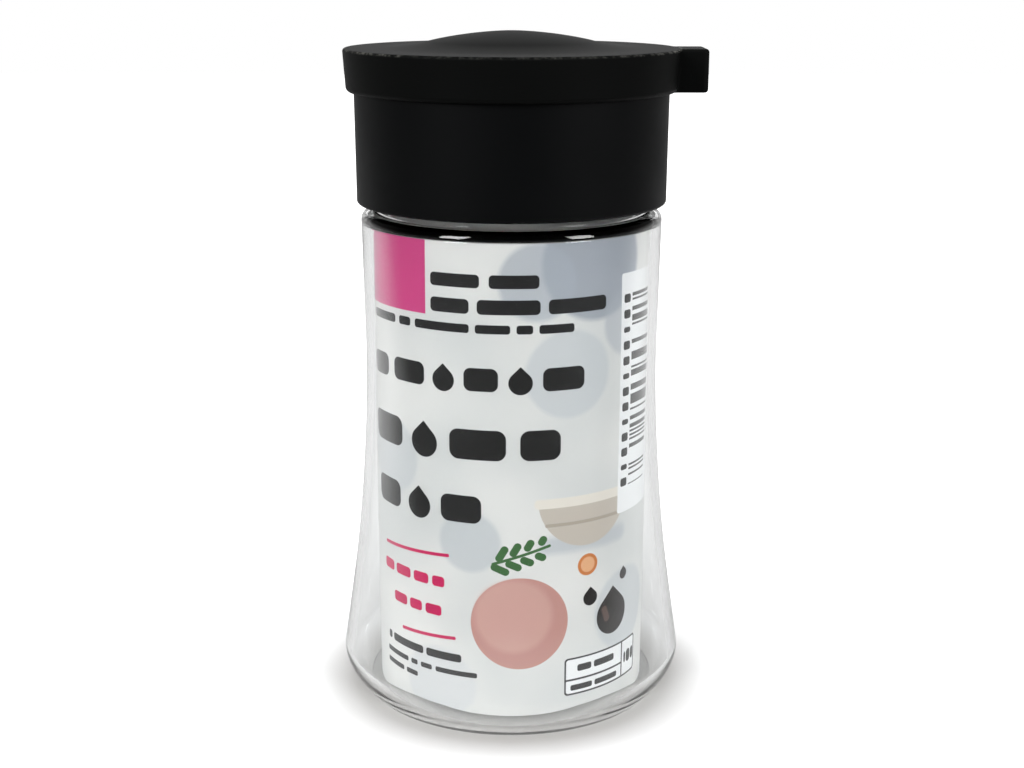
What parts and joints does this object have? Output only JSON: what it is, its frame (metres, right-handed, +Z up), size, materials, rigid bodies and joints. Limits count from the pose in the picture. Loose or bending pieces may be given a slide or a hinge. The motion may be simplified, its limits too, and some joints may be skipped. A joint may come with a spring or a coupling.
{
  "type": "push-button soy sauce bottle",
  "caption": "Clear waisted squat bottle with a rolled printed insert, a black cap, and a soft cover whose domed top is pressed to drive sauce from a side spout.",
  "frame": {"origin": "on the bottle's axis, in the plane of the foot ring that it stands on", "axes": "+Z up along the bottle's axis, +X from the axis towards the spout, -Y towards the printed front"},
  "size_m": [0.0593, 0.057, 0.1089],
  "materials": {
    "clear_plastic": "clear polished plastic",
    "printed_paper": "satin printed sheet",
    "black_plastic": "fine moulded satin",
    "black_silicone": "soft matt silicone"
  },
  "bodies": {
    "body": {"bottle": "clear_plastic", "label_insert": "printed_paper", "cap_body": "black_plastic", "cover_rim": "black_silicone"},
    "button": {"push_dome": "black_silicone"}
  },
  "joints": [
    {"name": "dome_push", "type": "slide", "parent": "body", "child": "button", "axis": [0, 0, -1], "range_m": [0, 0.0026], "stiffness_N_per_m": 2500}
  ]
}
